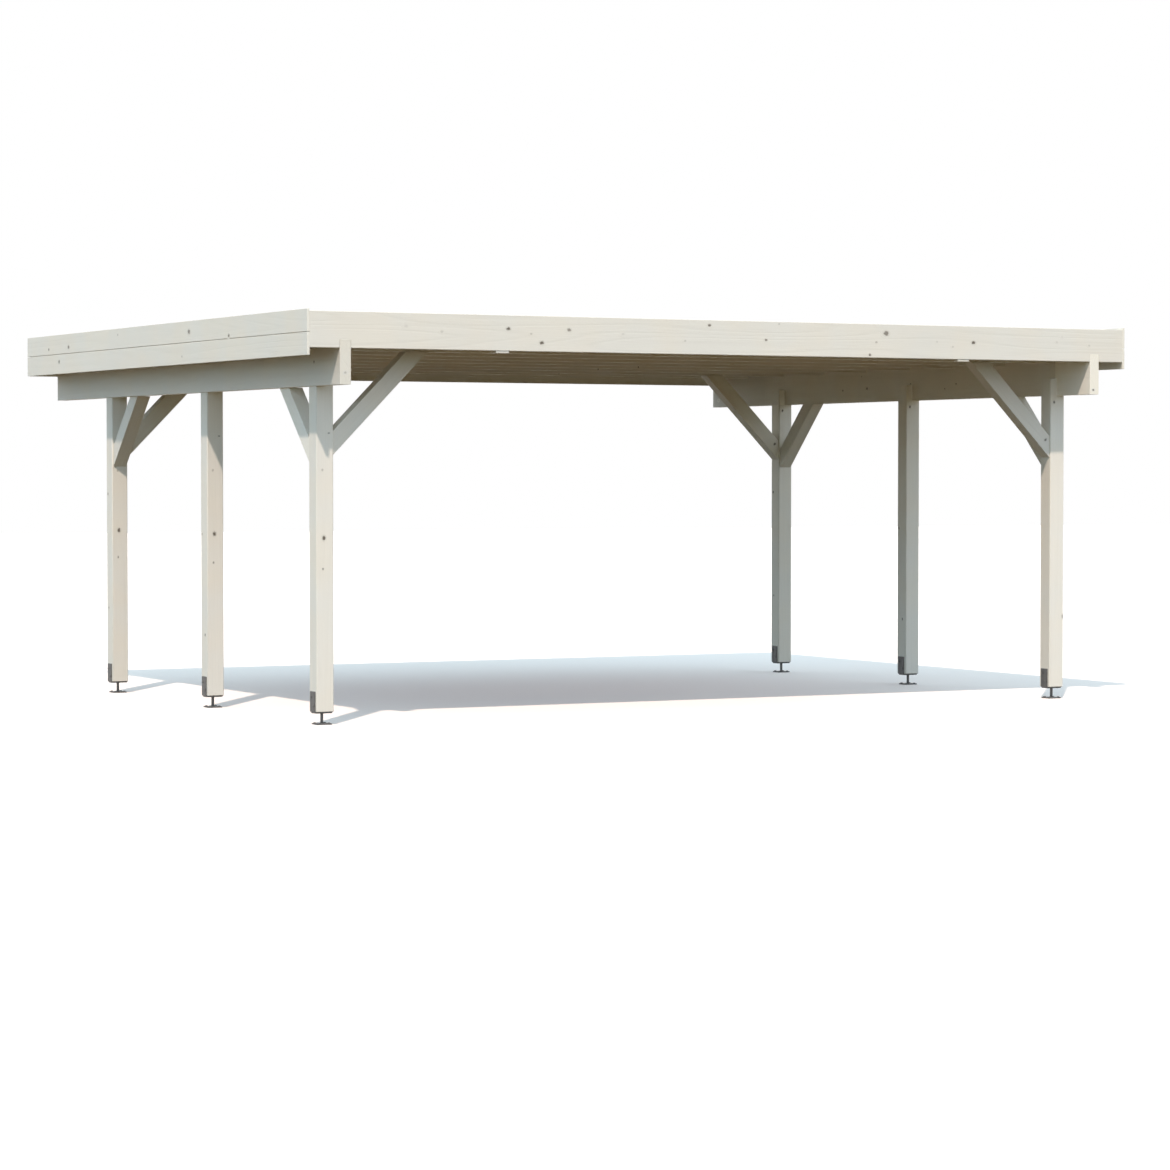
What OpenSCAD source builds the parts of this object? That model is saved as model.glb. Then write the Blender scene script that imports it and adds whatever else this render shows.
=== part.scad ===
// Flat-roofed timber carport: six notched posts on steel post bases, two purlins,
// seat-cut rafters, knee braces at the four corners and boarded roof edges.
// X runs along the front, Y from the front to the rear, Z up from the ground.

/* [Roof] */
// Width over the boards along the two sides
roof_w = 6350; // [5600:10:7400]
// Depth from the front face to the rear face
roof_d = 5415; // [5000:5:6400]
// Thickness of the boards that edge the roof
fascia_t = 18; // [15:1:28]
// Height of one edge board
fascia_board_h = 145; // [120:1:180]
// Open joint between the lower and the upper edge board
fascia_gap = 3; // [1:0.5:8]
// How far the edge boards hang below the rafters
fascia_drop = 48; // [20:1:80]
// Thickness of the roof boarding
deck_t = 18; // [15:1:24]
// Thickness of the roofing felt
felt_t = 4; // [2:0.5:6]

/* [Rafters] */
// Thickness of a rafter
rafter_t = 60; // [45:1:90]
// Height of an inner rafter
rafter_h = 205; // [170:1:215]
// Height of the front rafter, whose top edge keeps the roofing in
front_rafter_h = 232; // [225:1:260]
// Depth of the seat cut by which a rafter sits on a purlin
seat_cut = 53; // [20:1:80]
// Side play of a purlin in a seat cut
seat_play = 1; // [0.5:0.5:3]
// Rafters between two neighbouring posts of a row
bay_rafters = 2; // [1:1:3]
// Rafters between the rear posts and the rear edge
tail_rafters = 1; // [0:1:2]

/* [Purlins] */
// Width of a purlin
purlin_w = 76; // [60:1:100]
// Height of a purlin
purlin_h = 285; // [220:1:320]
// From the roof's side to the outer face of a purlin
side_overhang = 226; // [150:1:400]
// How far a purlin's outer face stands out over the posts
purlin_proud = 10; // [0:1:25]
// From the roof's rear face to a purlin's rear end
purlin_setback = 42; // [30:1:70]

/* [Posts] */
// Side of the square post
post_s = 120; // [100:1:160]
// Bevel along the post's four edges
post_bevel = 5; // [2:0.5:10]
// Ground to the underside of the purlins
clear_h = 2192; // [1900:1:2600]
// Distance between neighbouring posts of a row, centre to centre
post_pitch = 1897; // [1500:1:2100]
// From the roof's front face to the front posts
front_overhang = 403; // [250:1:600]
// Height of the tongue that rises beside the purlin
tongue_h = 120; // [80:1:200]

/* [Braces] */
// Thickness of a brace across its plane
brace_w = 100; // [80:1:110]
// Height of a brace in its own plane
brace_h = 110; // [80:1:130]
// Length that a side brace takes up along the purlin
side_brace_leg = 512; // [350:1:650]
// Length that a cross brace takes up along the rafter
cross_brace_leg = 680; // [450:1:850]

/* [Post bases] */
// Ground to the foot of a post
foot_h = 86; // [60:1:150]
// Side of the square plate on the ground
base_s = 100; // [90:1:140]
// Thickness of the plate on the ground
base_t = 8; // [5:0.5:12]
// Diameter of the upright bar
stem_d = 20; // [16:1:30]
// Depth of the U-shaped saddle, front to rear
saddle_d = 76; // [60:1:100]
// Thickness of the saddle's steel
saddle_t = 6; // [4:0.5:8]
// Height of the saddle's sides on the post
saddle_h = 131; // [90:1:180]
// Inner bend radius of the saddle, hidden by the post's bevel
saddle_r = 3; // [1:0.5:5]
// Thickness of the plate welded under the saddle
rest_t = 6; // [3:0.5:10]
// Diameter of an anchor hole
anchor_d = 12; // [9:0.5:16]
// Distance between neighbouring anchor holes
anchor_pitch = 70; // [60:1:100]

/* [Hidden] */
$fn = 48;
SIDES = ["left", "right"];
ROWS = ["front", "middle", "rear"];
CORNERS = ["front", "rear"];
TIERS = ["lower", "upper"];

// Heights
rafter_z = clear_h + purlin_h - seat_cut;
deck_z = rafter_z + rafter_h;
felt_z = deck_z + deck_t;
fascia_z = rafter_z - fascia_drop;

// Places along X, for the right-hand side
frame_x = roof_w / 2 - fascia_t;
purlin_outer_x = roof_w / 2 - side_overhang;
purlin_inner_x = purlin_outer_x - purlin_w;
post_x = purlin_outer_x - purlin_proud - post_s / 2;
tongue_t = purlin_inner_x - post_x + post_s / 2;

// Places along Y
front_y = -roof_d / 2;
rear_y = roof_d / 2;
frame_rear_y = rear_y - fascia_t;
front_post_y = front_y + front_overhang + post_s / 2;
rear_post_y = front_post_y + 2 * post_pitch;
rear_rafter_y = frame_rear_y - rafter_t / 2;
bay_step = post_pitch / (bay_rafters + 1);
tail_step = (rear_rafter_y - rear_post_y) / (tail_rafters + 1);

// Middle line of each inner rafter, from the front post line to the last one before the rear edge
bay_ys = [for (i = [0 : 2 * (bay_rafters + 1)]) front_post_y + i * bay_step];
tail_ys = [for (i = [1 : 1 : tail_rafters]) rear_post_y + i * tail_step];
inner_ys = concat(bay_ys, tail_ys);

function side_sign(side) = side == "left" ? -1 : 1;
function row_y(row) = front_post_y + search([row], ROWS)[0] * post_pitch;
function inward_sign(row) = row == "front" ? 1 : -1;
function rafter_name(i) = str("rafter_", i + 2);

module mirror_to(side) {
    mirror([side == "left" ? 1 : 0, 0, 0]) children();
}

// U-section of the saddle, bent from one strip, with its floor's top on the axis
module saddle_section() {
    outer_w = post_s + 2 * saddle_t;
    outer_r = saddle_r + saddle_t;
    difference() {
        union() {
            translate([-outer_w / 2, outer_r - saddle_t])
                square([outer_w, saddle_h + saddle_t - outer_r]);
            translate([outer_r - outer_w / 2, -saddle_t])
                square([outer_w - 2 * outer_r, outer_r]);
            for (sx = [-1, 1])
                translate([sx * (outer_w / 2 - outer_r), outer_r - saddle_t])
                    circle(r = outer_r);
        }
        translate([-post_s / 2, 0])
            square([post_s, saddle_h + 1]);
    }
}

// Post base: anchor plate, upright bar, and saddle on a plate
module post_base(side, row) {
    rest_w = post_s - 2 * saddle_r;
    rest_z = foot_h - saddle_t - rest_t;
    color("dimgray")
    translate([side_sign(side) * post_x, row_y(row), 0]) {
        difference() {
            translate([-base_s / 2, -base_s / 2, 0])
                cube([base_s, base_s, base_t]);
            for (sx = [-1, 1], sy = [-1, 1])
                translate([sx * anchor_pitch / 2, sy * anchor_pitch / 2, -1])
                    cylinder(d = anchor_d, h = base_t + 2);
        }
        translate([0, 0, base_t])
            cylinder(d = stem_d, h = rest_z - base_t);
        translate([-rest_w / 2, -saddle_d / 2, rest_z])
            cube([rest_w, saddle_d, rest_t]);
        translate([0, saddle_d / 2, foot_h])
            rotate([90, 0, 0])
                linear_extrude(saddle_d) saddle_section();
    }
}

module bevelled_square(s, bevel) {
    h = s / 2;
    c = h - bevel;
    polygon([[-c, -h], [c, -h], [h, -c], [h, c], [c, h], [-c, h], [-h, c], [-h, -c]]);
}

// Post with a shoulder under the purlin and a tongue on its inner side
module post(side, row) {
    color("gainsboro")
    mirror_to(side)
    translate([post_x, row_y(row), foot_h])
    difference() {
        linear_extrude(clear_h + tongue_h - foot_h)
            bevelled_square(post_s, post_bevel);
        translate([tongue_t - post_s / 2, -post_s, clear_h - foot_h])
            cube([post_s, 2 * post_s, tongue_h + 1]);
    }
}

// Knee brace at 45 degrees, cut plumb against the post and level under the beam.
// The post's face is at u = 0 and the beam's underside at v = 0.
module brace_side_view(leg) {
    cut = brace_h * sqrt(2);
    polygon([[0, -leg], [leg, 0], [leg - cut, 0], [0, cut - leg]]);
}

// Brace from a corner post to the purlin
module side_brace(side, row) {
    color("lightgray")
    translate([side_sign(side) * post_x, row_y(row) + inward_sign(row) * post_s / 2, clear_h])
        mirror([0, row == "front" ? 0 : 1, 0])
            translate([-brace_w / 2, 0, 0])
                rotate([90, 0, 90])
                    linear_extrude(brace_w) brace_side_view(side_brace_leg);
}

// Brace from a corner post to the rafter above the post line
module cross_brace(side, row) {
    color("lightgray")
    mirror_to(side)
    translate([post_x - post_s / 2, row_y(row) + brace_w / 2, rafter_z])
        mirror([1, 0, 0])
            rotate([90, 0, 0])
                linear_extrude(brace_w) brace_side_view(cross_brace_leg);
}

module purlin(side) {
    color("gainsboro")
    mirror_to(side)
    translate([purlin_inner_x, front_y, clear_h])
        cube([purlin_w, roof_d - purlin_setback, purlin_h]);
}

// Rafter with a seat cut over each purlin
module rafter(y, h) {
    seat_w = purlin_w + 2 * seat_play;
    color("gainsboro")
    translate([0, y, rafter_z])
    difference() {
        translate([-frame_x, -rafter_t / 2, 0])
            cube([2 * frame_x, rafter_t, h]);
        for (side = SIDES)
            mirror_to(side)
                translate([purlin_inner_x - seat_play, -rafter_t, -1])
                    cube([seat_w, 2 * rafter_t, seat_cut + 1]);
    }
}

module front_rafter() {
    rafter(front_y + rafter_t / 2, front_rafter_h);
}

module rear_rafter() {
    rafter(rear_rafter_y, rafter_h);
}

function tier_z(tier) = fascia_z + (tier == "upper" ? fascia_board_h + fascia_gap : 0);

module side_fascia(side, tier) {
    color("whitesmoke")
    mirror_to(side)
    translate([frame_x, front_y, tier_z(tier)])
        cube([fascia_t, roof_d, fascia_board_h]);
}

module rear_fascia(tier) {
    color("whitesmoke")
    translate([-frame_x, frame_rear_y, tier_z(tier)])
        cube([2 * frame_x, fascia_t, fascia_board_h]);
}

module roof_boarding() {
    color("burlywood")
    translate([-frame_x, front_y + rafter_t, deck_z])
        cube([2 * frame_x, frame_rear_y - front_y - rafter_t, deck_t]);
}

module roofing_felt() {
    color("darkslategray")
    translate([-frame_x, front_y + rafter_t, felt_z])
        cube([2 * frame_x, frame_rear_y - front_y - rafter_t, felt_t]);
}

for (s = SIDES, r = ROWS) {
    post_base(s, r);
    post(s, r);
}
for (s = SIDES, r = CORNERS) {
    side_brace(s, r);
    cross_brace(s, r);
}
for (s = SIDES) {
    purlin(s);
}
front_rafter();
for (i = [0 : len(inner_ys) - 1]) {
    rafter(inner_ys[i], rafter_h);
}
rear_rafter();
for (s = SIDES, t = TIERS) {
    side_fascia(s, t);
}
for (t = TIERS) {
    rear_fascia(t);
}
roof_boarding();
roofing_felt();
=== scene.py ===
# %% [markdown]
# # A flat-roofed timber carport, dressed in Blender
# The construction is fixed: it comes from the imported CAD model, in metres, with X along
# the front, Y towards the rear and Z up. This lesson adds what the eye looks for in
# planed and primed timber: eased edges, grain, knots, screws, felt laps and zinc.

# %% Load the frame
import math
import random

import bmesh
import bpy
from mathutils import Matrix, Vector, noise


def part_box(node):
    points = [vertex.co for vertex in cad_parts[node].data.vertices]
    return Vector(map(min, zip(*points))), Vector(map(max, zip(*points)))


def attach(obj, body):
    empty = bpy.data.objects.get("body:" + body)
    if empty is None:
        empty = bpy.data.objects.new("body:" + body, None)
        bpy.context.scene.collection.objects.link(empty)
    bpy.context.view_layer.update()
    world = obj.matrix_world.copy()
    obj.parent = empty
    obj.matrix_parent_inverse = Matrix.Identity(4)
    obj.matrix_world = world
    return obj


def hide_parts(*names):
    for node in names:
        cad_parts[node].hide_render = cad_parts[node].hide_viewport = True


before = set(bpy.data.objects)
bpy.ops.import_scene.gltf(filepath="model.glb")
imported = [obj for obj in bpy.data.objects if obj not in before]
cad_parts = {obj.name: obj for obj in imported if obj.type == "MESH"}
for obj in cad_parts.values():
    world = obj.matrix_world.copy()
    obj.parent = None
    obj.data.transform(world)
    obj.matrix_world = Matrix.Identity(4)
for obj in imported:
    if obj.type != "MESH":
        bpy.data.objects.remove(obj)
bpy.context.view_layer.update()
scene = bpy.context.scene
print("CAD nodes:", len(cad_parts))

# %% [markdown]
# ## The camera
# The photograph was taken from the front left at eye height with a long lens, so the
# uprights stay parallel. The place and the lens come from fitting a pinhole camera to
# the edges of the posts and of the roof. There is no lens shift.

# %% Camera
CAMERA_PLACE = (-11.9108, -23.0075, 1.6123)
CAMERA_TURN = 0.4858
CAMERA_DIP = 0.0313
LENS_MM = 107.275
SENSOR_MM = 36.0
CLIP_END = 300.0

camera = bpy.data.objects.new("camera", bpy.data.cameras.new("camera"))
camera.data.lens = LENS_MM
camera.data.sensor_width = SENSOR_MM
camera.data.clip_end = CLIP_END
camera.location = CAMERA_PLACE
camera.rotation_euler = (math.pi / 2 - CAMERA_DIP, 0.0, -CAMERA_TURN)
scene.collection.objects.link(camera)
scene.camera = camera
scene.view_settings.view_transform = "Standard"
print("camera", CAMERA_PLACE, "lens", LENS_MM)

# %% [markdown]
# ## A helper for node trees
# Materials, light and Geometry Nodes are all trees of nodes. One short function adds a
# node, and each input is either a plain value or another node's output, which is
# linked. That keeps the trees below readable.

# %% Node helpers
NOISE_SPAN = (0.3, 0.7)


def fill(tree, socket, value):
    if isinstance(value, bpy.types.NodeSocket):
        tree.links.new(value, socket)
    else:
        socket.default_value = value


def set_inputs(tree, node, **inputs):
    """Sets a node's inputs by name. An underscore in a name stands for a space."""
    for key, value in inputs.items():
        fill(tree, node.inputs[key.replace("_", " ")], value)


def add(tree, kind, settings=None, **inputs):
    made = tree.nodes.new(kind)
    for key, value in (settings or {}).items():
        setattr(made, key, value)
    set_inputs(tree, made, **inputs)
    return made


def calc(tree, operation, *values):
    made = add(tree, "ShaderNodeMath", {"operation": operation})
    for socket, value in zip(made.inputs, values):
        fill(tree, socket, value)
    return made.outputs[0]


def vector_calc(tree, operation, a, b):
    made = add(tree, "ShaderNodeVectorMath", {"operation": operation})
    fill(tree, made.inputs[0], a)
    fill(tree, made.inputs["Scale"] if operation == "SCALE" else made.inputs[1], b)
    return made.outputs["Value"] if operation == "DOT_PRODUCT" else made.outputs["Vector"]


def blend(tree, factor, a, b, mode="MIX"):
    made = add(tree, "ShaderNodeMix", {"data_type": "RGBA", "blend_type": mode})
    for index, value in ((0, factor), (6, a), (7, b)):
        fill(tree, made.inputs[index], value)
    return made.outputs[2]


def remap(tree, value, low, high, to_low=0.0, to_high=1.0):
    made = add(tree, "ShaderNodeMapRange", Value=value, From_Min=low, From_Max=high,
               To_Min=to_low, To_Max=to_high)
    return made.outputs["Result"]


def noise_at(tree, place, scale, detail=2.0, rough=0.5):
    made = add(tree, "ShaderNodeTexNoise", Vector=place, Scale=scale, Detail=detail, Roughness=rough)
    return made.outputs["Fac"]


def object_place(tree):
    return tree.nodes.new("ShaderNodeTexCoord").outputs["Object"]


def floats(*labels):
    """Plain number sockets without a value of their own."""
    return [(label, "NodeSocketFloat", None) for label in labels]


def new_group(name, kind, inputs, outputs):
    tree = bpy.data.node_groups.new(name, kind)
    for in_out, sockets in (("INPUT", inputs), ("OUTPUT", outputs)):
        for label, socket_type, default in sockets:
            socket = tree.interface.new_socket(label, in_out=in_out, socket_type=socket_type)
            if default is not None:
                socket.default_value = default
    return tree, tree.nodes.new("NodeGroupInput"), tree.nodes.new("NodeGroupOutput")


print("helpers ready")

# %% [markdown]
# ## Light, floor and background
# A sun from the front left and above gives the shadows that the roof throws on the
# posts, and a dome fills them: pale at the horizon, brightest half way up, dimmer at
# the top and towards the left, and brighter at the right and the rear. The floor and
# the sky look white to the camera and in reflections. Light that bounces up from the
# floor is a dull brown, which is why the underside of such a roof looks dark and warm.

# %% Sun
SUN_TRAVEL = (0.48, 0.625, -1.0)
SUN_STRENGTH = 2.97
SUN_COLOUR = (1.0, 0.842, 0.747)
SUN_SIZE_DEG = 1.2

sun = bpy.data.objects.new("sun", bpy.data.lights.new("sun", "SUN"))
sun.data.energy = SUN_STRENGTH
sun.data.color = SUN_COLOUR
sun.data.angle = math.radians(SUN_SIZE_DEG)
sun.rotation_euler = Vector(SUN_TRAVEL).to_track_quat("-Z", "Y").to_euler()
scene.collection.objects.link(sun)
print("sunlight travels along", SUN_TRAVEL)

# %% Sky
HAZE = (0.475, 0.57, 0.555, 1.0)
MIDDLE = (0.572, 0.655, 0.79, 1.0)
TOP = (0.28, 0.40, 0.47, 1.0)
SKY_BANDS = ((0.0, HAZE), (0.10, HAZE), (0.16, MIDDLE), (0.55, MIDDLE), (0.68, TOP), (1.0, TOP))
SKY_STRENGTH = 2.0
SKY_LEFT = (0.51, 0.66, 0.72, 1.0)
SKY_FRONT = (1.0, 1.0, 1.0, 1.0)
SKY_REST = (1.2, 1.15, 1.12, 1.0)
# Where the front's and the left's share of the light comes in, by the direction's Y and X.
FRONT_FADE = (-0.45, -0.70)
LEFT_FADE = (-0.60, -0.85)
WHITE = (1.0, 1.0, 1.0, 1.0)


def seen_directly(tree):
    path = tree.nodes.new("ShaderNodeLightPath")
    seen = calc(tree, "MAXIMUM", path.outputs["Is Camera Ray"], path.outputs["Is Glossy Ray"])
    return calc(tree, "MAXIMUM", seen, path.outputs["Is Transmission Ray"])


def seen_or_not(tree, unseen, seen):
    """Mixes two shaders: one for light that only bounces, one for what is seen."""
    both = tree.nodes.new("ShaderNodeMixShader")
    for index, source in enumerate((seen_directly(tree), unseen.outputs[0], seen.outputs[0])):
        tree.links.new(source, both.inputs[index])
    return both.outputs[0]


world = bpy.data.worlds.new("sky")
world.use_nodes = True
sky = world.node_tree
sky.nodes.clear()
direction = sky.nodes.new("ShaderNodeTexCoord").outputs["Generated"]
toward = add(sky, "ShaderNodeSeparateXYZ", Vector=direction)
dome = sky.nodes.new("ShaderNodeValToRGB")
sky.links.new(toward.outputs["Z"], dome.inputs[0])
stops = dome.color_ramp.elements
for position, _ in SKY_BANDS[1:-1]:
    stops.new(position)
for stop, (position, colour) in zip(stops, SKY_BANDS):
    stop.position, stop.color = position, colour
share = blend(sky, remap(sky, toward.outputs["Y"], *FRONT_FADE), SKY_REST, SKY_FRONT)
share = blend(sky, remap(sky, toward.outputs["X"], *LEFT_FADE), share, SKY_LEFT)
dome_light = blend(sky, 1.0, dome.outputs[0], share, "MULTIPLY")
filling = add(sky, "ShaderNodeBackground", Color=dome_light, Strength=SKY_STRENGTH)
white = add(sky, "ShaderNodeBackground", Color=WHITE, Strength=1.0)
sky.links.new(seen_or_not(sky, filling, white), sky.nodes.new("ShaderNodeOutputWorld").inputs[0])
scene.world = world
print("sky bands:", len(SKY_BANDS))

# %% Floor
FLOOR_PALE = (0.98, 0.89, 0.82, 1.0)
FLOOR_BOUNCE = (0.090, 0.057, 0.018, 1.0)
FLOOR_HALF = 70.0
FLOOR_CORNERS = ((-1, -1), (1, -1), (1, 1), (-1, 1))

floor_mesh = bpy.data.meshes.new("floor")
floor_mesh.from_pydata([(sx * FLOOR_HALF, sy * FLOOR_HALF, 0.0) for sx, sy in FLOOR_CORNERS], [],
                       [(0, 1, 2, 3)])
floor = bpy.data.objects.new("floor", floor_mesh)
scene.collection.objects.link(floor)
pale = bpy.data.materials.new("pale_floor")
pale.use_nodes = True
tree = pale.node_tree
tree.nodes.clear()
bounce = add(tree, "ShaderNodeBsdfDiffuse", Color=FLOOR_BOUNCE)
shown = add(tree, "ShaderNodeBsdfDiffuse", Color=FLOOR_PALE)
tree.links.new(seen_or_not(tree, bounce, shown), tree.nodes.new("ShaderNodeOutputMaterial").inputs[0])
floor_mesh.materials.append(pale)
print("floor:", 2 * FLOOR_HALF, "m square")

# %% [markdown]
# ## Primed timber
# The timber has a thin cream primer through which the grain still shows. Grain is the
# same effect on every timber and only its direction changes, so it is one node group.
# It reads coordinates whose X runs along the grain, and stretches noise along X:
# broad streaks, fine fibres and the dark lines of the growth rings. End grain gets
# rings instead, and the eased edges are a little paler, where primer is rubbed thin.

# %% Grain group
PRIMER = (0.765, 0.735, 0.65, 1.0)
STREAK_STRETCH = (0.45, 21.0, 21.0)
FIBRE_STRETCH = (6.0, 330.0, 330.0)
RING_STRETCH = (0.28, 6.5, 6.5)
STREAK_DEPTH = 0.055
PATCH_DEPTH = 0.05
FIBRE_DEPTH = 0.05
RING_DEPTH = 0.016
RING_LINES = 11.0
RING_RANGE = (0.30, 0.5)
PATCH_SCALE = 1.7
TINT_SCALE = 3.1
TINT_RANGE = (0.35, 0.65)
EDGE_PALER = 0.03
END_RINGS = 70.0
END_LEVELS = (0.86, 1.06)
ROUGH_RANGE = (0.52, 0.66)
RING_GLOSS = 0.05
FIBRE_RELIEF = 0.6
STREAK_RELIEF = 0.4
RING_RELIEF = 0.5
WARM = (1.008, 0.996, 0.975)
COOL = (0.988, 1.0, 1.01)
END_TINT = (1.12, 1.12, 1.08)
END_SHARE = 0.35

grain, given, out = new_group(
    "timber_grain", "ShaderNodeTree",
    [("Along", "NodeSocketVector", None), ("Paint", "NodeSocketColor", PRIMER),
     *floats("Tone", "Edge", "End")],
    [("Colour", "NodeSocketColor", None), *floats("Roughness", "Height")])
along = given.outputs["Along"]
streak = noise_at(grain, vector_calc(grain, "MULTIPLY", along, STREAK_STRETCH), 1.0, 4.0, 0.6)
fibre = noise_at(grain, vector_calc(grain, "MULTIPLY", along, FIBRE_STRETCH), 1.0, 2.0)
patch = noise_at(grain, along, PATCH_SCALE, 2.0)
tint = noise_at(grain, along, TINT_SCALE, 1.0)
contour = noise_at(grain, vector_calc(grain, "MULTIPLY", along, RING_STRETCH), 1.0, 1.0, 0.35)
bands = calc(grain, "PINGPONG", calc(grain, "MULTIPLY", contour, RING_LINES), 0.5)
ring_line = remap(grain, bands, *RING_RANGE)
end_rings = add(grain, "ShaderNodeTexWave", {"wave_type": "RINGS", "rings_direction": "X"},
                Vector=along, Scale=END_RINGS, Distortion=1.5, Detail=2.0)
level = calc(grain, "MULTIPLY_ADD", streak, STREAK_DEPTH, 1.0 - STREAK_DEPTH / 2)
level = calc(grain, "MULTIPLY_ADD", patch, PATCH_DEPTH, level)
level = calc(grain, "MULTIPLY_ADD", fibre, FIBRE_DEPTH, level)
level = calc(grain, "SUBTRACT", level, (PATCH_DEPTH + FIBRE_DEPTH) / 2)
level = calc(grain, "MULTIPLY_ADD", ring_line, -RING_DEPTH, level)
level = calc(grain, "ADD", level, given.outputs["Tone"])
level = calc(grain, "MULTIPLY_ADD", given.outputs["Edge"], EDGE_PALER, level)
paint = vector_calc(grain, "SCALE", given.outputs["Paint"], level)
paint = blend(grain, remap(grain, tint, *TINT_RANGE), vector_calc(grain, "MULTIPLY", paint, WARM),
              vector_calc(grain, "MULTIPLY", paint, COOL))
end_level = remap(grain, end_rings.outputs["Fac"], 0.0, 1.0, *END_LEVELS)
end_paint = vector_calc(grain, "SCALE", vector_calc(grain, "MULTIPLY", paint, END_TINT), end_level)
at_end = calc(grain, "MULTIPLY", given.outputs["End"], END_SHARE)
rough = remap(grain, fibre, *NOISE_SPAN, *ROUGH_RANGE)
relief = calc(grain, "MULTIPLY_ADD", fibre, FIBRE_RELIEF, calc(grain, "MULTIPLY", streak, STREAK_RELIEF))
set_inputs(grain, out, Colour=blend(grain, at_end, paint, end_paint),
           Roughness=calc(grain, "MULTIPLY_ADD", ring_line, -RING_GLOSS, rough),
           Height=calc(grain, "MULTIPLY_ADD", ring_line, -RING_RELIEF, relief))
print("grain group:", len(grain.nodes), "nodes")

# %% [markdown]
# A timber material turns the object's coordinates so that X follows the grain, and
# hands them to the group. Each piece carries two small attributes: "tone", a shade of
# its own, as no two beams are alike, with painted light and shade added on some
# timbers and faces, and "edge", which marks the eased faces.

# %% Timber materials
TIMBER_SPECULAR = 0.3
GRAIN_BUMP = 0.35
GRAIN_HEIGHT = 0.002
END_GRAIN = (0.8, 0.95)
QUARTER, EIGHTH = math.pi / 2, math.pi / 4
HALF_ROOT = math.sqrt(0.5)
GRAIN_WAYS = {
    "across": ((0, 0, 0), (1, 0, 0)),
    "lengthways": ((0, 0, -QUARTER), (0, 1, 0)),
    "upright": ((0, QUARTER, 0), (0, 0, 1)),
    "left_cross": ((0, EIGHTH, 0), (HALF_ROOT, 0, HALF_ROOT)),
    "right_cross": ((0, -EIGHTH, 0), (HALF_ROOT, 0, -HALF_ROOT)),
    "front_side": ((-EIGHTH, 0, -QUARTER), (0, HALF_ROOT, HALF_ROOT)),
    "rear_side": ((EIGHTH, 0, -QUARTER), (0, HALF_ROOT, -HALF_ROOT)),
}


def attribute(tree, name):
    return add(tree, "ShaderNodeAttribute", {"attribute_name": name}).outputs["Fac"]


def grained(tree, way, tone, edge):
    """Places the grain group with its coordinates turned to the way the grain runs."""
    turn, axis = GRAIN_WAYS[way]
    place = object_place(tree)
    turned = add(tree, "ShaderNodeMapping", Vector=place, Rotation=turn).outputs["Vector"]
    facing = tree.nodes.new("ShaderNodeNewGeometry").outputs["Normal"]
    along_grain = calc(tree, "ABSOLUTE", vector_calc(tree, "DOT_PRODUCT", facing, axis))
    end = remap(tree, along_grain, *END_GRAIN)
    return add(tree, "ShaderNodeGroup", {"node_tree": grain}, Along=turned, Paint=PRIMER,
               Tone=tone, Edge=edge, End=end)


def principled(name):
    made = bpy.data.materials.new(name)
    made.use_nodes = True
    return made, made.node_tree, made.node_tree.nodes["Principled BSDF"]


def bumped(tree, shader, relief, strength, distance):
    bump = add(tree, "ShaderNodeBump", Height=relief, Strength=strength, Distance=distance)
    set_inputs(tree, shader, Normal=bump.outputs["Normal"])


def timber_material(way):
    made, tree, shader = principled("primed_timber_" + way)
    finish = grained(tree, way, attribute(tree, "tone"), attribute(tree, "edge"))
    set_inputs(tree, shader, Base_Color=finish.outputs["Colour"], Roughness=finish.outputs["Roughness"],
               Specular_IOR_Level=TIMBER_SPECULAR)
    bumped(tree, shader, finish.outputs["Height"], GRAIN_BUMP, GRAIN_HEIGHT)
    return made


TIMBER = {way: timber_material(way) for way in GRAIN_WAYS}
print("timber materials:", ", ".join(TIMBER))

# %% [markdown]
# ## Planed timber with eased edges
# A planed beam has its sharp corners taken off, and that thin facet catches the light.
# The CAD solid has the beam's cuts already, so a copy of it is cleaned up, its outer
# corners are bevelled, and the copy stands for the solid. Inner corners of a notch and
# the edges of a seat cut stay sharp, as a saw leaves them. Some timbers, or parts of
# them, get a lighter or darker tone that is painted light and painted shade, as seen
# in the photograph; the others get a tone by a fixed chance.

# %% Shades of single timbers
TONE_SPREAD = 0.018
# Posts are made a little lighter, and the right posts, which stand in the shade under the roof, more so;
# the right posts' extra is painted light.
POST_TONES_AND_PAINTED_LIGHT = {"left": 0.02, "right": 0.05}
# Tones that are painted light and painted shade: a timber that lies in more light is made lighter, and one
# in shade darker.
PAINTED_LIGHT_AND_SHADE_TONES = {
    "front_rafter": -0.05, "left_purlin": -0.10, "right_purlin": 0.05,
    "left_front_side_brace": 0.11, "left_rear_side_brace": -0.06, "right_rear_side_brace": -0.08,
    "left_front_cross_brace": -0.03, "left_rear_cross_brace": 0.11,
    "right_front_cross_brace": -0.10, "right_rear_cross_brace": 0.10}
LEFTWARD, RIGHTWARD = (-1, 0, 0), (1, 0, 0)
FRONTWARD, REARWARD = (0, -1, 0), (0, 1, 0)
DOWNWARD, UPWARD = (0, 0, -1), (0, 0, 1)
SHOULDER_CLEAR = 0.001
PALE_PAST_FACE = 0.02
ABOVE_SHOULDER = (0, 0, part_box("right_purlin")[0].z + SHOULDER_CLEAR)
BY_FRONT_POST = (0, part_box("right_front_post")[0].y + PALE_PAST_FACE, 0)
BY_REAR_POST = (0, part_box("right_rear_post")[0].y, 0)
BRACE_UNDERSIDE = (-HALF_ROOT, 0, -HALF_ROOT)
FADE_LENGTH = 0.36
FADE_STEPS = 9


def fading_painted_patch(point, way, facing, change):
    """A patch of painted shade, or of painted light when the change is positive, that comes in by small
    steps, so that no edge of it shows.
    """
    steps = [FADE_LENGTH * i / FADE_STEPS for i in range(FADE_STEPS)]
    return tuple((Vector(point) + s * Vector(way), way, facing, change / FADE_STEPS) for s in steps)
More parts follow.
